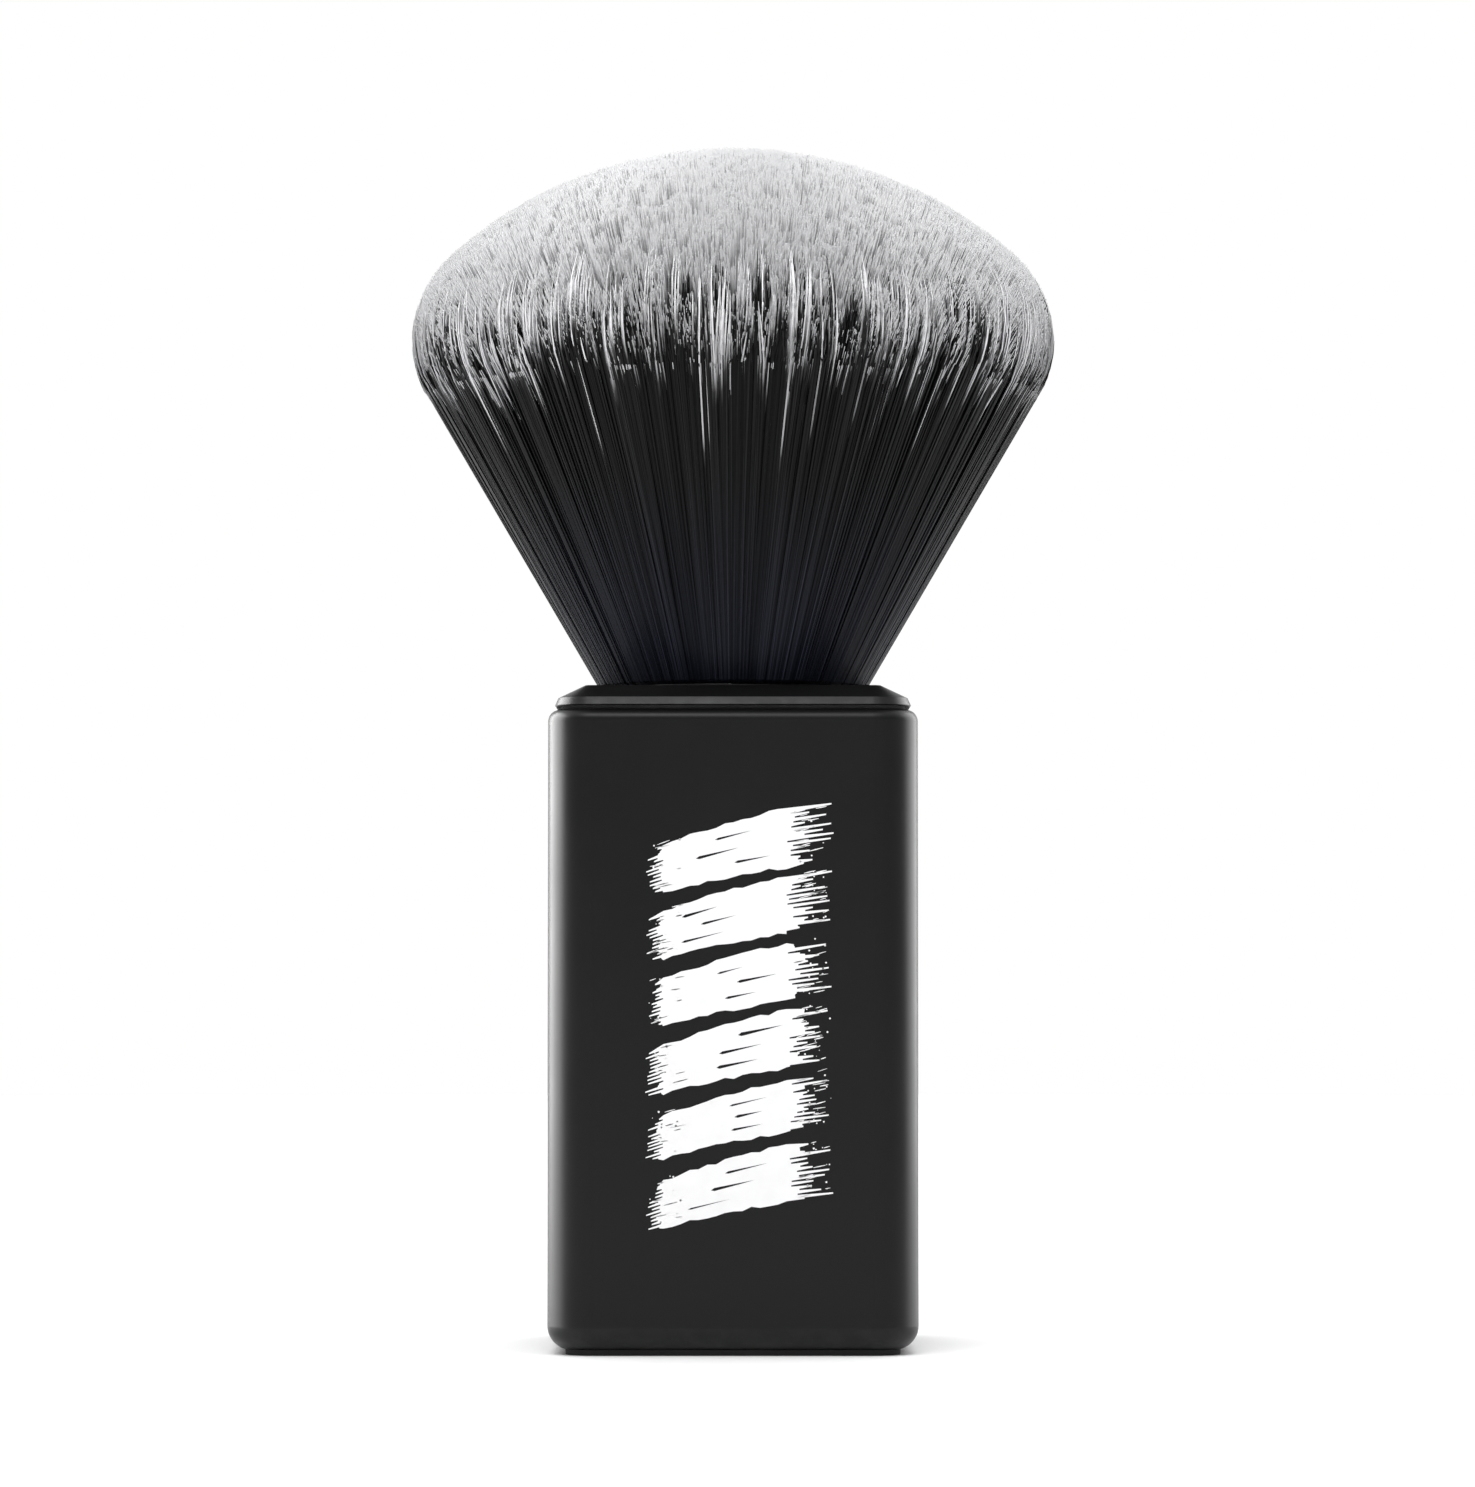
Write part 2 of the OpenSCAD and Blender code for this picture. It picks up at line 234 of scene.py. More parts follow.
fibre_finish, tree, shader = new_finish("two_tone_fibre", Roughness=0.42, IOR=1.5)
shader.inputs["Specular IOR Level"].default_value = 0.08
place = add(tree, "TexCoord").outputs["Object"]
outward = add(tree, "VectorMath", {0: place, 1: (0, 0, splay_z)}, operation="SUBTRACT")
reach = add(tree, "VectorMath", {0: outward.outputs[0]}, operation="LENGTH").outputs["Value"]
heading = add(tree, "VectorMath", {0: outward.outputs[0]}, operation="NORMALIZE").outputs[0]
dye_line = add(tree, "Attribute", attribute_name="dye_line").outputs["Fac"]
shade = add(tree, "Attribute", attribute_name="shade").outputs["Fac"]
wander = spread(tree, noise(tree, heading, 42, 2), 0.3, 0.7, -0.0016, 0.0016)
dye_start = add(tree, "Math", {0: dye_line, 1: wander}, operation="ADD").outputs[0]
dye_end = add(tree, "Math", {0: dye_start, 1: dye_fade}, operation="ADD").outputs[0]
bleached = spread(tree, reach, dye_start, dye_end)
streak = spread(tree, noise(tree, heading, 360, 1), 0.34, 0.66)
tone = add(tree, "Math", {0: shade, 1: streak}, operation="MULTIPLY").outputs[0]
near_root = spread(tree, reach, 0.046, 0.028)
black_dye = blend(tree, tone, (0.0002, 0.0002, 0.0003), (0.021, 0.021, 0.0213))
root_dye = blend(tree, tone, (0.0010, 0.0014, 0.0030), (0.022, 0.024, 0.036))
dark = blend(tree, near_root, black_dye, root_dye)
pale_tip = blend(tree, shade, (0.88, 0.885, 0.895), (0.91, 0.91, 0.915))
pale_low = blend(tree, shade, (0.52, 0.52, 0.54), (0.72, 0.72, 0.73))
pale = blend(tree, spread(tree, reach, dye_end, tip_reach), pale_low, pale_tip)
share = ramp(tree, bleached, [(0, (0, 0, 0)), (0.35, (0.05, 0.05, 0.05)),
                              (0.75, (0.55, 0.55, 0.55)), (1, (1, 1, 1))])
tree.links.new(blend(tree, share, dark, pale), shader.inputs["Base Color"])
tree.links.new(spread(tree, streak, 0, 1, 0.36, 0.50), shader.inputs["Roughness"])
# The pale ends scatter light among each other, so their faces are softened toward the
# head's own outward direction
softness = add(tree, "Math", {0: share, 1: 0.60}, operation="MULTIPLY").outputs[0]
facing = add(tree, "NewGeometry").outputs["Normal"]
softened = add(tree, "Mix", {0: softness, 4: facing, 5: heading},
               data_type="VECTOR").outputs[1]
skin = {"Height": noise(tree, place, 9000, 1), "Distance": 0.000004, "Strength": 0.4,
        "Normal": softened}
tree.links.new(add(tree, "Bump", skin).outputs[0], shader.inputs["Normal"])

chance = random.Random(11)
section_corners = 3
fibre_section = bpy.data.curves.new("fibre_section", "CURVE")
corner_ring = fibre_section.splines.new("POLY")
corner_ring.points.add(section_corners - 1)
corner_ring.use_cyclic_u = True
for corner, point in enumerate(corner_ring.points):
    turn = math.radians(90 + 360 / section_corners * corner)
    point.co = (math.cos(turn), math.sin(turn), 0, 1)
section_shape = bpy.data.objects.new("fibre_section", fibre_section)
bpy.context.scene.collection.objects.link(section_shape)


def fibre_bundle(name, strands, girths):
    """One bundle. A strand is (its points, its dye line, its shade), and all the strands
    have a point for each of the girths, which are the fibre's radius from root to tip."""
    lines = bpy.data.curves.new(name, "CURVE")
    lines.dimensions = "3D"
    lines.bevel_mode = "OBJECT"
    lines.bevel_object = section_shape
    lines.use_fill_caps = True
    for points, dye, tint in strands:
        line = lines.splines.new("POLY")
        line.points.add(len(points) - 1)
        line.points.foreach_set("co", [n for point in points for n in (*point, 1)])
        line.points.foreach_set("radius", girths)
    drawn = bpy.data.objects.new(name + "_lines", lines)
    bpy.context.scene.collection.objects.link(drawn)
    graph = bpy.context.evaluated_depsgraph_get()
    mesh = bpy.data.meshes.new_from_object(drawn.evaluated_get(graph), depsgraph=graph)
    bpy.data.objects.remove(drawn)
    steps = len(girths) - 1
    end_corners = 2 * section_corners
    side_corners = 4 * section_corners * steps
    ends = len(strands) * end_corners
    for label, column in (("dye_line", 1), ("shade", 2)):
        values = numpy.array([strand[column] for strand in strands], numpy.float32)
        values = [numpy.repeat(values[::-1], end_corners),
                  numpy.repeat(values, section_corners * (steps + 1))]
        layer = mesh.attributes.new(label, "FLOAT", "POINT")
        layer.data.foreach_set("value", numpy.concatenate(values))
    number = numpy.arange(len(strands))
    number = numpy.concatenate([numpy.repeat(number[::-1], end_corners),
                                numpy.repeat(number, side_corners)])
    drawn_uv = numpy.zeros(len(mesh.loops) * 2, numpy.float32)
    mesh.uv_layers[0].data.foreach_get("uv", drawn_uv)
    along, girth = drawn_uv.reshape(-1, 2).clip(0, 1).T
    girth[:ends] = along[:ends]
    along[:ends] = numpy.tile(numpy.repeat((1, 0), section_corners), len(strands))
    columns = 512
    rows = math.ceil(len(strands) / columns)
    strips = numpy.stack([(number % columns + girth) / columns,
                          (number // columns + along) / rows], axis=1)
    layer = mesh.uv_layers.new(name="OFBake")
    layer.data.foreach_set("uv", strips.astype(numpy.float32).ravel())
    closed = bmesh.new()
    closed.from_mesh(mesh)
    bmesh.ops.remove_doubles(closed, verts=closed.verts, dist=1e-7)
    closed.to_mesh(mesh)
    closed.free()
    mesh.shade_flat()
    mesh.materials.clear()
    mesh.materials.append(fibre_finish)
    bundle = bpy.data.objects.new(name, mesh)
    bpy.context.scene.collection.objects.link(bundle)
    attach(bundle, "root")
    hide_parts("fibre_knot")
    head_only.objects.link(bundle)
    return bundle


lowest_dye = 0.044
front_rise = 0.0040
odd_fibres = 0.03


def dye_of(azimuth, tuft_dye, highest_dye):
    """Where one fibre's dye ends: near its tuft's, and now and then far from it. The dye
    stands a little higher at the front and back than at the sides."""
    if chance.random() < odd_fibres:
        return chance.uniform(lowest_dye, highest_dye)
    dye = tuft_dye + front_rise * math.sin(azimuth)**2 + chance.gauss(0, 0.0012)
    return min(highest_dye, dye)


# The flanks: long fibres in loose tufts. They show from the cup's lip to the rim, roll over
# with it, and end at different heights on the roll.
flank_bundles = 4
flank_tufts = 600
flank_tuft_fibres = 6
flank_girths = [fibre_r] * 6 + [0.000075, 0.00006, 0.000018]
flank_depth = math.radians(2.6)
flank_highest_dye = 0.0640
root_spread = 0.0105
root_z = lip_z - 0.0008
loose_fibres = 0.003
for bundle in range(flank_bundles):
    strands = []
    for tuft in range(flank_tufts):
        azimuth = chance.uniform(0, 2 * math.pi)
        tilt = flare - 0.003 - flank_depth * chance.random()**1.6
        tuft_dye = dye_reach + chance.gauss(0.0014, 0.0038)
        tuft_shade = chance.random()
        tuft_roll = math.radians(chance.uniform(8, 56))
        tuft_drift = chance.gauss(0, 0.014)
        for fibre in range(flank_tuft_fibres):
            own_azimuth = azimuth + chance.gauss(0, 0.013)
            drift = tuft_drift + chance.gauss(0, 0.004) + 0.5 * (azimuth - own_azimuth)
            own_tilt = min(flare - 0.001, tilt + chance.gauss(0, 0.003))
            along = Vector((math.sin(own_tilt), math.cos(own_tilt)))
            bend_reach = rim_centre.dot(along)
            bend_r = rim_centre.y * along.x - rim_centre.x * along.y + chance.gauss(0, 0.00008)
            roll = max(0.06, tuft_roll + chance.gauss(0, 0.09))
            stray = chance.uniform(0.0003, 0.0014) if chance.random() < loose_fibres else 0
            root = root_spread * own_tilt / flare
            points = [(root * math.cos(own_azimuth), root * math.sin(own_azimuth), root_z)]
            for step in (0, 0.35, 0.7, 1):
                reach_here = neck_reach + (bend_reach - neck_reach) * step
                points.append(on_fibre(reach_here, own_tilt, own_azimuth + 0.5 * drift * step))
            for step in (0.25, 0.5, 0.75, 1):
                turn = roll * step - own_tilt
                spoke = Vector((math.cos(turn), math.sin(turn)))
                out = rim_centre + (bend_r + stray * step) * spoke
                points.append(on_fibre(out.length, math.atan2(out.x, out.y),
                                       own_azimuth + (0.5 + 0.5 * step) * drift))
            dye = dye_of(own_azimuth, tuft_dye, flank_highest_dye)
            strands.append((points, dye, 0.5 * tuft_shade + 0.5 * chance.random()))
    fibre_bundle(f"flank_fibres_{bundle + 1}", strands, flank_girths)

# The dome: the ends of the fibres that stand inside the bundle, a little steeper at their
# roots than at their tips, so that they stay behind the flanks
dome_bundles = 6
dome_tufts = 1100
dome_tuft_fibres = 11
dome_girths = [fibre_r, fibre_r, 0.000040]
dome_length = 0.016
dome_bend = 0.0040
tuft_spread = 0.0045
dome_highest_dye = 0.0560
for bundle in range(dome_bundles):
    strands = []
    for tuft in range(dome_tufts):
        azimuth = chance.uniform(0, 2 * math.pi)
        tilt = math.acos(chance.uniform(math.cos(flare), 1))
        tuft_dye = dye_reach + chance.gauss(-0.0040, 0.0014)
        tuft_shade = chance.random()
        tuft_length = chance.gauss(-0.0001, 0.00004)
        for fibre in range(dome_tuft_fibres):
            sideways = chance.gauss(0, tuft_spread)
            own_azimuth = azimuth + sideways / max(0.02, math.sin(tilt))
            own_tilt = min(flare, abs(tilt + chance.gauss(0, tuft_spread)))
            tip = head_reach(own_tilt) + tuft_length + chance.gauss(0, 0.00005)
            lean = chance.gauss(0, 0.0025)
            points = [on_fibre(tip - dome_length, 0.94 * own_tilt - lean, own_azimuth),
                      on_fibre(tip - dome_bend, 0.985 * own_tilt - 0.3 * lean, own_azimuth),
                      on_fibre(tip, own_tilt, own_azimuth)]
            dye = dye_of(own_azimuth, tuft_dye, dome_highest_dye)
            strands.append((points, dye, 0.5 * tuft_shade + 0.5 * chance.random()))
    fibre_bundle(f"dome_fibres_{bundle + 1}", strands, dome_girths)
bpy.data.objects.remove(section_shape)

# The middle of the bundle, made here, which closes what shows between the strands
core_tilt = flare - math.radians(1.6)
core_foot_r = 0.0100
core_foot_z = lip_z - 0.004
core_steps = 24
core_mesh = bmesh.new()
outline = [Vector((0, 0, core_foot_z)), Vector((core_foot_r, 0, core_foot_z)),
           Vector((core_foot_r, 0, lip_z)), Vector(on_fibre(neck_reach, core_tilt, 0))]
for step in range(core_steps + 1):
    way = step / core_steps
    tilt = core_tilt * (1 - way)
    inset = 0.0016 + 0.0044 * min(1, 4 * way)
    outline.append(Vector(on_fibre(head_reach(tilt * flare / core_tilt) - inset, tilt, 0)))
corners = [core_mesh.verts.new(point) for point in outline]
edges = [core_mesh.edges.new(pair) for pair in zip(corners, corners[1:])]
bmesh.ops.spin(core_mesh, geom=corners + edges, cent=(0, 0, 0), axis=(0, 0, 1),
               dvec=(0, 0, 0), angle=2 * math.pi, steps=96, use_merge=True)
bmesh.ops.remove_doubles(core_mesh, verts=core_mesh.verts, dist=0.00002)
bmesh.ops.recalc_face_normals(core_mesh, faces=core_mesh.faces)
core_data = bpy.data.meshes.new("fibre_core")
core_mesh.to_mesh(core_data)
core_mesh.free()
core_data.shade_smooth()
# The core's low shade value darkens its colour: painted shade for the deep inside of the
# bundle, where little light reaches
for label, value in (("dye_line", dye_reach + 0.001), ("shade", 0.15)):
    layer = core_data.attributes.new(label, "FLOAT", "POINT")
    layer.data.foreach_set("value", [value] * len(core_data.vertices))
core_data.materials.append(fibre_finish)
fibre_core = bpy.data.objects.new("fibre_core", core_data)
bpy.context.scene.collection.objects.link(fibre_core)
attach(fibre_core, "root")
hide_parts("fibre_knot")
head_only.objects.link(fibre_core)


# ---- Binding thread --------------------------------------------------------------------
# Waxed two-ply cord wound round the roots in a tight coil before they are cast. The coil
# is one cord, and its two plies twist round each other all the way up.
thread_low, thread_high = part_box("binding_thread")
turns = 4
cord_r = (thread_high.z - thread_low.z) / turns / 2
coil_r = thread_high.x - cord_r
ply_r = cord_r / 2
twists = 34
steps_in_turn = 140
ply_corners = 8
ply_section = bpy.data.curves.new("ply_section", "CURVE")
ply_ring = ply_section.splines.new("POLY")
ply_ring.points.add(ply_corners - 1)
ply_ring.use_cyclic_u = True
for corner, point in enumerate(ply_ring.points):
    turn = math.radians(360 / ply_corners * corner)
    point.co = (ply_r * math.cos(turn), ply_r * math.sin(turn), 0, 1)
section_shape = bpy.data.objects.new("ply_section", ply_section)
bpy.context.scene.collection.objects.link(section_shape)
plies = bpy.data.curves.new("wound_cord", "CURVE")
plies.dimensions = "3D"
plies.bevel_mode = "OBJECT"
plies.bevel_object = section_shape
plies.use_fill_caps = True
for ply in range(2):
    line = plies.splines.new("POLY")
    last = (turns - 1) * steps_in_turn
    line.points.add(last)
    for step, point in enumerate(line.points):
        angle = 2 * math.pi * step / steps_in_turn
        twist = twists * angle + math.pi * ply
        out = coil_r + ply_r * math.cos(twist)
        rise_here = (thread_low.z + cord_r + 2 * cord_r * step / steps_in_turn
                     + ply_r * math.sin(twist))
        point.co = (out * math.cos(angle), out * math.sin(angle), rise_here, 1)
drawn = bpy.data.objects.new("wound_cord_lines", plies)
bpy.context.scene.collection.objects.link(drawn)
graph = bpy.context.evaluated_depsgraph_get()
cord_mesh = bpy.data.meshes.new_from_object(drawn.evaluated_get(graph), depsgraph=graph)
bpy.data.objects.remove(drawn)
bpy.data.objects.remove(section_shape)
closed = bmesh.new()
closed.from_mesh(cord_mesh)
bmesh.ops.remove_doubles(closed, verts=closed.verts, dist=1e-7)
bmesh.ops.recalc_face_normals(closed, faces=closed.faces)
closed.to_mesh(cord_mesh)
closed.free()
cord_mesh.shade_smooth()


def relief(tree, shader, height, depth, strength=1.0):
    """Gives a shader a fine relief, depth metres from low to high."""
    inputs = {"Height": height, "Distance": depth, "Strength": strength}
    tree.links.new(add(tree, "Bump", inputs).outputs[0], shader.inputs["Normal"])


thread_finish, tree, shader = new_finish("waxed_thread", Roughness=0.5)
place = add(tree, "TexCoord").outputs["Object"]
lint = noise(tree, place, 5200, 3)
wax = noise(tree, place, 260, 2)
cord_colour = blend(tree, lint, (0.50, 0.44, 0.31), (0.74, 0.68, 0.53))
tree.links.new(blend(tree, wax, cord_colour, (0.62, 0.55, 0.38)), shader.inputs["Base Color"])
tree.links.new(spread(tree, wax, 0.3, 0.7, 0.34, 0.62), shader.inputs["Roughness"])
relief(tree, shader, lint, 0.00003, 0.6)
cord_mesh.materials.clear()
cord_mesh.materials.append(thread_finish)
wound_cord = bpy.data.objects.new("wound_cord", cord_mesh)
bpy.context.scene.collection.objects.link(wound_cord)
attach(wound_cord, "root")
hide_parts("binding_thread")


# ---- Resin plug ------------------------------------------------------------------------
# Clear amber epoxy, cast round the roots in a tray mould. It is honey coloured, with
# small bubbles near the top and fine flow lines.
def finish_node(name, finish):
    """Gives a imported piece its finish."""
    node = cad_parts[name]
    node.data.materials.clear()
    node.data.materials.append(finish)
    return node


resin, tree, shader = new_finish("amber_resin", Roughness=0.16, IOR=1.55)
place = add(tree, "TexCoord").outputs["Object"]
flow = noise(tree, place, 240, 4, 0.6)
bubbles = add(tree, "TexVoronoi", {"Vector": place, "Scale": 1500.0}).outputs["Distance"]
bubble_edge = spread(tree, bubbles, 0.10, 0.22)
honey = blend(tree, flow, (0.42, 0.22, 0.055), (0.70, 0.45, 0.14))
tree.links.new(blend(tree, bubble_edge, (0.85, 0.72, 0.42), honey),
               shader.inputs["Base Color"])
tree.links.new(spread(tree, flow, 0.3, 0.7, 0.10, 0.24), shader.inputs["Roughness"])
relief(tree, shader, bubble_edge, 0.00002, 0.4)
finish_node("resin_plug", resin)


# ---- Knot adhesive ---------------------------------------------------------------------
# Cured two-part adhesive between the plug and the cup. It is cloudy cream, with lumps
# where it was spread and a skin that is smoother than its depth.
adhesive, tree, shader = new_finish("cured_adhesive", Roughness=0.32)
place = add(tree, "TexCoord").outputs["Object"]
lumps = noise(tree, place, 420, 3)
haze = noise(tree, place, 2400, 2)
cream = blend(tree, lumps, (0.60, 0.54, 0.36), (0.80, 0.76, 0.58))
tree.links.new(blend(tree, haze, cream, (0.72, 0.67, 0.48)), shader.inputs["Base Color"])
tree.links.new(spread(tree, lumps, 0.3, 0.7, 0.22, 0.44), shader.inputs["Roughness"])
relief(tree, shader, lumps, 0.00006, 0.6)
finish_node("knot_adhesive", adhesive)


# ---- Knot cup --------------------------------------------------------------------------
# Turned aluminium cup, anodised black with the rest of the handle. The lathe leaves fine
# rings, which the dye keeps, and the tool marks run round the axis.
cup_finish, tree, shader = new_finish("turned_black", Roughness=0.34)
place = add(tree, "TexCoord").outputs["Object"]
axes = add(tree, "SeparateXYZ", {0: place})
from_axis = add(tree, "CombineXYZ", {0: axes.outputs["X"], 1: axes.outputs["Y"]}).outputs[0]
ring = add(tree, "VectorMath", {0: from_axis}, operation="LENGTH").outputs["Value"]
ring_and_height = add(tree, "CombineXYZ", {0: ring, 2: axes.outputs["Z"]}).outputs[0]
rings = noise(tree, ring_and_height, 9000, 1)
cloud = noise(tree, place, 120, 3)
tree.links.new(blend(tree, cloud, (0.0036, 0.0036, 0.0037), (0.0056, 0.0056, 0.0057)),
               shader.inputs["Base Color"])
tree.links.new(spread(tree, rings, 0.3, 0.7, 0.28, 0.40), shader.inputs["Roughness"])
relief(tree, shader, rings, 0.000004, 0.5)
handle_only.objects.link(finish_node("knot_cup", cup_finish))


# ---- Cup insert ------------------------------------------------------------------------
# Turned brass insert with a female thread, pressed into the cup's floor. The bars show
# bright cuts and a light brown tarnish in the hollows.
brass, tree, shader = new_finish("turned_brass", Metallic=1.0, Roughness=0.3)
place = add(tree, "TexCoord").outputs["Object"]
axes = add(tree, "SeparateXYZ", {0: place})
cuts = noise(tree, add(tree, "CombineXYZ", {2: axes.outputs["Z"]}).outputs[0], 8000, 2)
tarnish = noise(tree, place, 520, 4, 0.6)
bright = blend(tree, cuts, (0.74, 0.55, 0.22), (0.86, 0.67, 0.32))
dull = spread(tree, tarnish, 0.48, 0.70)
tree.links.new(blend(tree, dull, bright, (0.40, 0.27, 0.11)), shader.inputs["Base Color"])
tree.links.new(spread(tree, tarnish, 0.3, 0.7, 0.20, 0.46), shader.inputs["Roughness"])
relief(tree, shader, cuts, 0.000008, 0.6)
finish_node("cup_insert", brass)


# ---- Cup seal --------------------------------------------------------------------------
# Moulded nitrile ring in the cap's groove. It is matt black with a thin bloom and a
# faint orange-peel skin. The gasket and the foot pad are cut from the same rubber.
rubber, tree, shader = new_finish("black_rubber", Roughness=0.7)
place = add(tree, "TexCoord").outputs["Object"]
peel = noise(tree, place, 3200, 3)
bloom = noise(tree, place, 180, 3)
dusty = spread(tree, bloom, 0.45, 0.75, 0, 0.6)
dark_rubber = blend(tree, peel, (0.008, 0.008, 0.008), (0.016, 0.016, 0.016))
tree.links.new(blend(tree, dusty, dark_rubber, (0.030, 0.030, 0.029)),
               shader.inputs["Base Color"])
tree.links.new(spread(tree, bloom, 0.3, 0.7, 0.58, 0.80), shader.inputs["Roughness"])
relief(tree, shader, peel, 0.00001, 0.6)
finish_node("cup_seal", rubber)


# ---- Cup key pin -----------------------------------------------------------------------
# Ground steel dowel under the cup, bright with fine grinding lines round it and a few
# darker oil stains. The bolt and washer are zinc plated and brighter.
ground_steel, tree, shader = new_finish("ground_steel", Metallic=1.0, Roughness=0.28)
place = add(tree, "TexCoord").outputs["Object"]
axes = add(tree, "SeparateXYZ", {0: place})
lines = noise(tree, add(tree, "CombineXYZ", {2: axes.outputs["Z"]}).outputs[0], 14000, 2)
stain = noise(tree, place, 700, 3)
steel_colour = blend(tree, lines, (0.46, 0.46, 0.47), (0.62, 0.62, 0.62))
stained = spread(tree, stain, 0.52, 0.72)
tree.links.new(blend(tree, stained, steel_colour, (0.34, 0.33, 0.31)),
               shader.inputs["Base Color"])
tree.links.new(spread(tree, stain, 0.3, 0.7, 0.20, 0.40), shader.inputs["Roughness"])
relief(tree, shader, lines, 0.000004, 0.5)
finish_node("cup_key_pin", ground_steel)


# ---- Top cap ---------------------------------------------------------------------------
# Milled aluminium cap, bead blasted and anodised black with the sleeve. The blasting
# leaves a very fine grain, and handling polishes the high edges smoother; the paler line along
# its lower edge is partly that wear and partly a painted highlight.
def satin_black(name, wear_and_highlight_from, wear_and_highlight_to):
    """Blasted black anodising. A paler band of rubbing wear and painted highlight shows
    between two heights of its edge, in metres.
    """
    finish, tree, shader = new_finish(name, Roughness=0.36)
    shader.inputs["Specular IOR Level"].default_value = 0.25
    place = add(tree, "TexCoord").outputs["Object"]
    grain = noise(tree, place, 7000, 2)
    cloud = noise(tree, place, 90, 3)
    rub = noise(tree, place, 620, 4, 0.65)
    height = add(tree, "SeparateXYZ", {0: place}).outputs["Z"]
    near_edge = spread(tree, height, wear_and_highlight_from, wear_and_highlight_to)
    # Paler, smoother band along the edge: rubbing wear, and its paler colour is partly a
    # painted highlight
    wear_and_highlight = add(tree, "Math", {0: near_edge, 1: spread(tree, rub, 0.42, 0.70)},
               operation="MULTIPLY").outputs[0]
    black = blend(tree, cloud, (0.0030, 0.0030, 0.0031), (0.0046, 0.0046, 0.0047))
    tree.links.new(blend(tree, wear_and_highlight, black, (0.0120, 0.0120, 0.0122)),
                   shader.inputs["Base Color"])
    clean = spread(tree, cloud, 0.3, 0.7, 0.33, 0.39)
    tree.links.new(add(tree, "Math", {0: clean, 1: spread(tree, wear_and_highlight, 0, 1, 0, 0.07)},
                       operation="SUBTRACT").outputs[0], shader.inputs["Roughness"])
    relief(tree, shader, grain, 0.000003, 0.5)
    return finish


cap_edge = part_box("gap_gasket")[1].z
# The paler band just above the gap is rubbing wear and a painted highlight
cap_finish = satin_black("satin_black_cap", cap_edge + 0.0008, cap_edge + 0.0004)
handle_only.objects.link(finish_node("top_cap", cap_finish))


# ---- Gap gasket ------------------------------------------------------------------------
# Die-cut rubber frame between the cap and the sleeve, set back so that the joint reads as
# a thin dark line all round.
finish_node("gap_gasket", rubber)


# ---- Handle sleeve ---------------------------------------------------------------------
# Square extruded aluminium tube, blasted and anodised in one batch with the cap. Its foot
# edge is the one that rubs when the brush is put down, and the paler band along it is that
# wear and a painted highlight.
foot_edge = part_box("handle_sleeve")[0].z
sleeve_finish = satin_black("satin_black_sleeve", foot_edge + 0.0024, foot_edge + 0.0006)
handle_only.objects.link(finish_node("handle_sleeve", sleeve_finish))


# ---- Front print -----------------------------------------------------------------------
# One pass of matt white screen ink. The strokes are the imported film, and round them lie
# the stray hairs and specks that a dry brush leaves, printed with the same ink.
ink, tree, shader = new_finish("screen_ink", Roughness=0.6)
place = add(tree, "TexCoord").outputs["Object"]
cover = noise(tree, place, 700, 3)
mesh_marks = noise(tree, place, 6500, 1)
tree.links.new(blend(tree, cover, (0.86, 0.86, 0.86), (0.95, 0.95, 0.95)),
               shader.inputs["Base Color"])
tree.links.new(spread(tree, cover, 0.3, 0.7, 0.50, 0.70), shader.inputs["Roughness"])
relief(tree, shader, mesh_marks, 0.000004, 0.4)
finish_node("front_print", ink)

print_low, print_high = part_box("front_print")
print_x = (print_low.x + print_high.x) / 2
print_z = (print_low.z + print_high.z) / 2
half_width = (print_high.x - print_low.x) / 2
stroke_slope = math.tan(math.radians(13))
strokes = 6
stroke_pitch = 0.00589
stroke_height = 0.0044
stray_hairs = 110
specks = 120
chance = random.Random(23)
specks_mesh = bmesh.new()
for number in range(stray_hairs + specks):
    stroke = chance.randrange(strokes) - (strokes - 1) / 2
    along = chance.choice((-1, 1, 1)) * chance.uniform(0.62, 0.97)
    x = print_x + half_width * along
    z = print_z + stroke_pitch * stroke + stroke_slope * half_width * along
    z += stroke_height * chance.uniform(-0.52, 0.52) * (1 + 0.1 * along)
    if number < stray_hairs:
        long = chance.uniform(0.0005, 0.0016)
        thick = chance.uniform(0.00005, 0.00011)
        tilt = -math.atan(stroke_slope) + chance.gauss(0, 0.05)
    else:
        long = thick = chance.uniform(0.00006, 0.00020)
        tilt = chance.uniform(0, math.pi)
    x = min(max(x, print_low.x + long), print_high.x - long)
    made = bmesh.ops.create_circle(specks_mesh, cap_ends=True, radius=0.5, segments=6)["verts"]
    bmesh.ops.scale(specks_mesh, vec=(long, thick, 1), verts=made)
    bmesh.ops.rotate(specks_mesh, matrix=Matrix.Rotation(math.pi / 2, 3, "X"), verts=made)
    bmesh.ops.rotate(specks_mesh, matrix=Matrix.Rotation(tilt, 3, "Y"), verts=made)
    bmesh.ops.translate(specks_mesh, vec=(x, print_high.y, z), verts=made)
ink_layer = bmesh.ops.extrude_face_region(specks_mesh, geom=list(specks_mesh.faces))
raised = [part for part in ink_layer["geom"] if isinstance(part, bmesh.types.BMVert)]
bmesh.ops.translate(specks_mesh, vec=(0, print_low.y - print_high.y, 0), verts=raised)
bmesh.ops.recalc_face_normals(specks_mesh, faces=specks_mesh.faces)
specks_data = bpy.data.meshes.new("print_specks")
specks_mesh.to_mesh(specks_data)
specks_mesh.free()
specks_data.materials.append(ink)
print_specks = bpy.data.objects.new("print_specks", specks_data)
bpy.context.scene.collection.objects.link(print_specks)
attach(print_specks, "root")


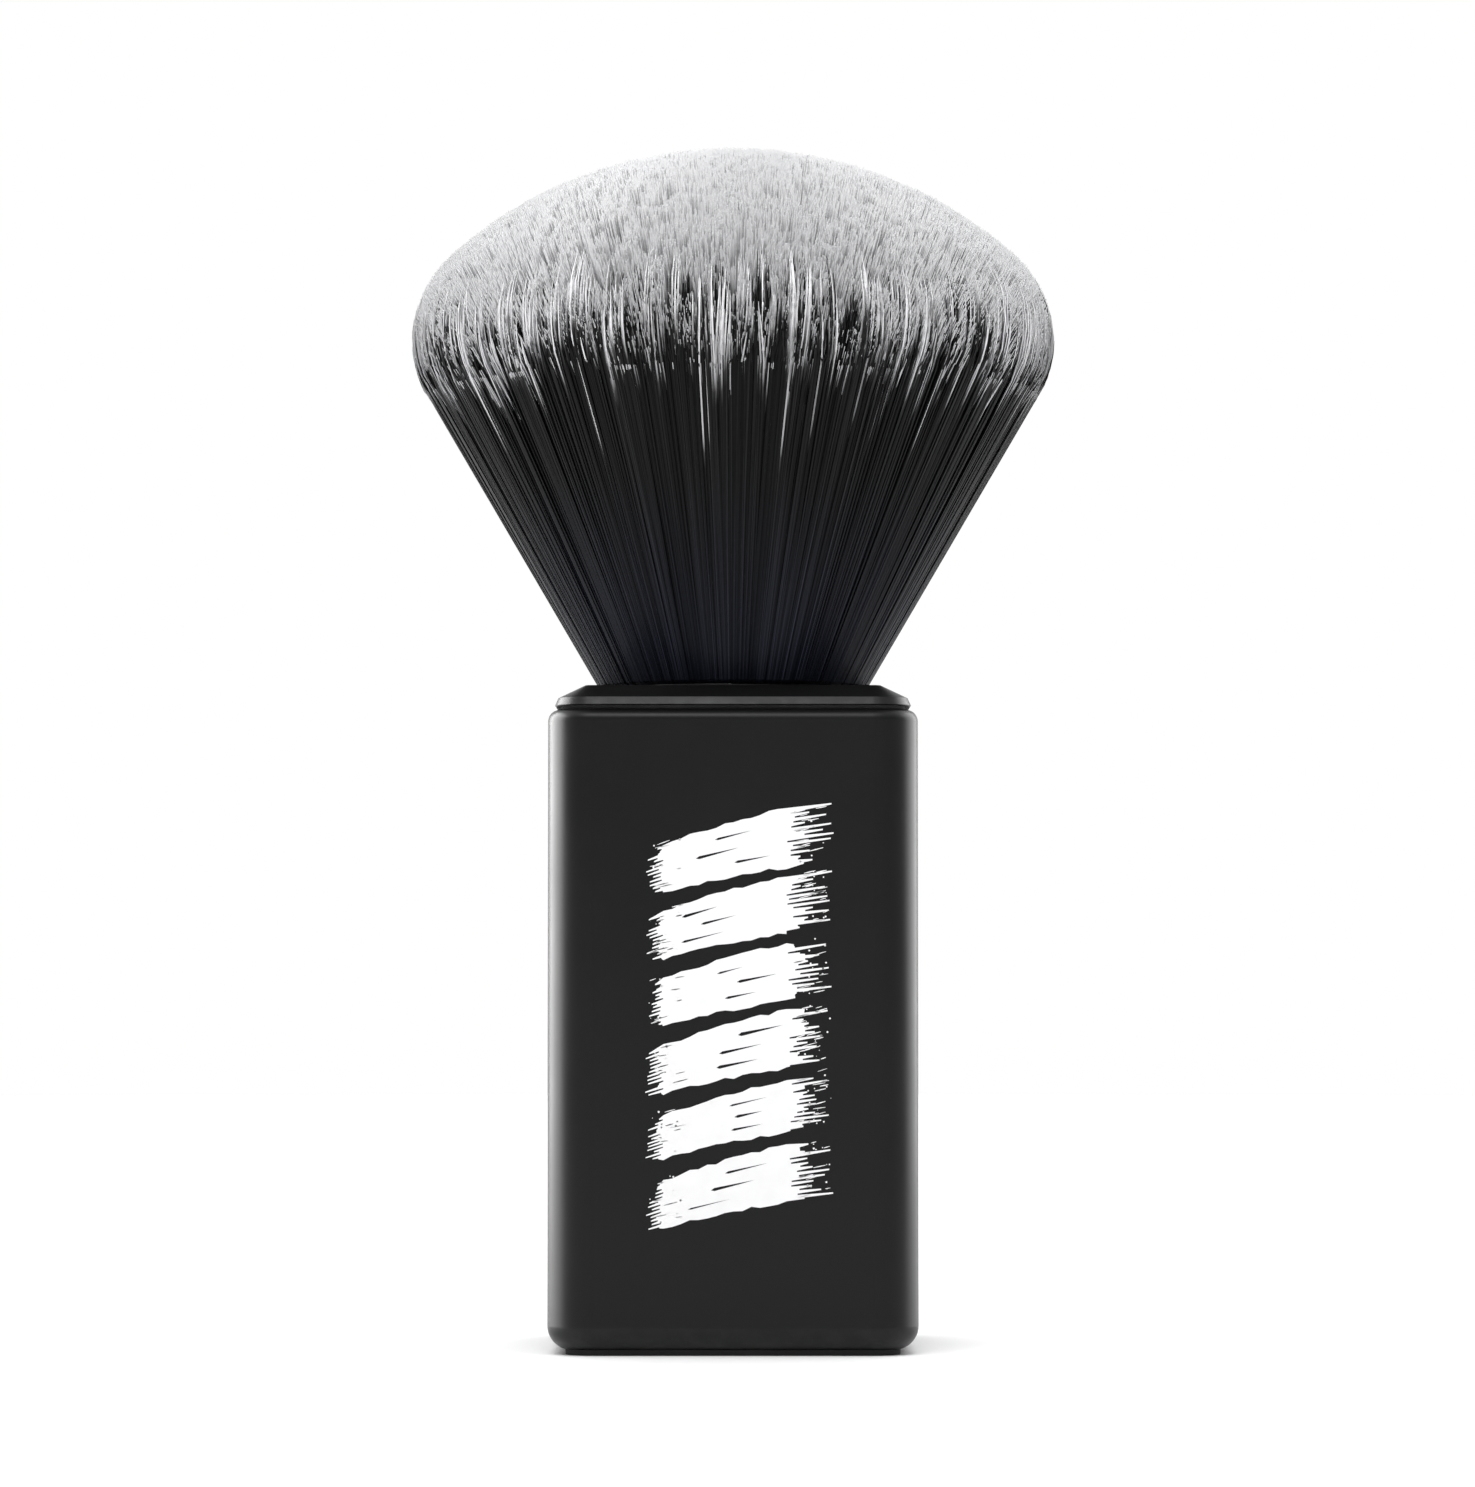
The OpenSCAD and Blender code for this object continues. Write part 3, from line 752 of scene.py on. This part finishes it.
# ---- Core carrier ----------------------------------------------------------------------
# Injection-moulded ABS block that fills the tube and seats the cup and the weight. It is
# dark grey, with spark-eroded texture and pale flow marks near the gate.
moulding, tree, shader = new_finish("moulded_abs", Roughness=0.5)
place = add(tree, "TexCoord").outputs["Object"]
texture = noise(tree, place, 4200, 3)
flow = noise(tree, place, 110, 4, 0.6)
grey = blend(tree, flow, (0.045, 0.046, 0.050), (0.075, 0.076, 0.080))
tree.links.new(blend(tree, spread(tree, texture, 0.55, 0.75), grey, (0.095, 0.096, 0.10)),
               shader.inputs["Base Color"])
tree.links.new(spread(tree, flow, 0.3, 0.7, 0.42, 0.58), shader.inputs["Roughness"])
relief(tree, shader, texture, 0.00001, 0.6)
finish_node("core_carrier", moulding)


# ---- Counterweight ---------------------------------------------------------------------
# Steel slug sawn from bar and turned, left with its mill scale on the outside and a thin
# coat of oil. It is dropped into the carrier from below.
bar_steel, tree, shader = new_finish("oiled_bar_steel", Metallic=1.0, Roughness=0.4)
place = add(tree, "TexCoord").outputs["Object"]
axes = add(tree, "SeparateXYZ", {0: place})
lines = noise(tree, add(tree, "CombineXYZ", {2: axes.outputs["Z"]}).outputs[0], 5000, 2)
scale_marks = noise(tree, place, 340, 4, 0.65)
turned = blend(tree, lines, (0.34, 0.34, 0.35), (0.50, 0.50, 0.50))
scaled = spread(tree, scale_marks, 0.46, 0.60)
tree.links.new(blend(tree, scaled, turned, (0.11, 0.105, 0.10)), shader.inputs["Base Color"])
tree.links.new(spread(tree, scale_marks, 0.3, 0.7, 0.30, 0.55), shader.inputs["Roughness"])
relief(tree, shader, lines, 0.00001, 0.5)
finish_node("counterweight", bar_steel)


# ---- Base plate ------------------------------------------------------------------------
# Zinc-plated steel plate that closes the foot. The plating has a fine crystal grain with
# soft cloudy patches, brighter on the flats. The bolt and its washer are plated with it.
zinc, tree, shader = new_finish("zinc_plate", Metallic=1.0, Roughness=0.34)
place = add(tree, "TexCoord").outputs["Object"]
crystal = add(tree, "TexVoronoi", {"Vector": place, "Scale": 900.0}).outputs["Distance"]
patches = noise(tree, place, 230, 3)
scratches = noise(tree, place, 3800, 2)
bluish = blend(tree, crystal, (0.56, 0.57, 0.60), (0.72, 0.73, 0.74))
tree.links.new(blend(tree, spread(tree, patches, 0.45, 0.72), bluish, (0.48, 0.48, 0.49)),
               shader.inputs["Base Color"])
tree.links.new(spread(tree, patches, 0.3, 0.7, 0.26, 0.44), shader.inputs["Roughness"])
relief(tree, shader, scratches, 0.000006, 0.5)
finish_node("base_plate", zinc)


# ---- Bolt washer -----------------------------------------------------------------------
# Stamped flat washer, plated with the plate. It spreads the bolt's pull over the pocket.
finish_node("bolt_washer", zinc)


# ---- Tie bolt --------------------------------------------------------------------------
# Low-head socket screw, plated, with a rolled thread all along its shank. The thread
# shows as an even ripple, and its roots are coloured darker than its crests as painted shade.
plated_thread, tree, shader = new_finish("plated_thread", Metallic=1.0, Roughness=0.32)
thread_pitch = 0.0008
shank_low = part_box("bolt_washer")[1].z
place = add(tree, "TexCoord").outputs["Object"]
axes = add(tree, "SeparateXYZ", {0: place})
bearing = add(tree, "Math", {0: axes.outputs["Y"], 1: axes.outputs["X"]},
              operation="ARCTAN2").outputs[0]
lead = add(tree, "Math", {0: bearing, 1: thread_pitch / (2 * math.pi)},
           operation="MULTIPLY").outputs[0]
climb = add(tree, "Math", {0: axes.outputs["Z"], 1: lead}, operation="SUBTRACT").outputs[0]
turned_by = add(tree, "Math", {0: climb, 1: 2 * math.pi / thread_pitch},
                operation="MULTIPLY").outputs[0]
ripple = add(tree, "Math", {0: turned_by}, operation="SINE").outputs[0]
on_shank = spread(tree, axes.outputs["Z"], shank_low, shank_low + 0.0002)
crest = add(tree, "Math", {0: spread(tree, ripple, -1, 1), 1: on_shank},
            operation="MULTIPLY").outputs[0]
patches = noise(tree, place, 300, 3)
plating = blend(tree, patches, (0.54, 0.55, 0.57), (0.70, 0.70, 0.71))
# Painted shade: the roots of the thread are coloured darker where shade falls in them
in_root = spread(tree, ripple, -0.4, -0.9)
shadowed = add(tree, "Math", {0: in_root, 1: on_shank}, operation="MULTIPLY").outputs[0]
tree.links.new(blend(tree, shadowed, plating, (0.20, 0.20, 0.21)), shader.inputs["Base Color"])
tree.links.new(spread(tree, patches, 0.3, 0.7, 0.24, 0.40), shader.inputs["Roughness"])
relief(tree, shader, crest, 0.00025, 1.0)
finish_node("tie_bolt", plated_thread)


# ---- Foot pad --------------------------------------------------------------------------
# Die-cut rubber pad, bonded over the plate. It is the face the brush stands on.
finish_node("base_pad", rubber)
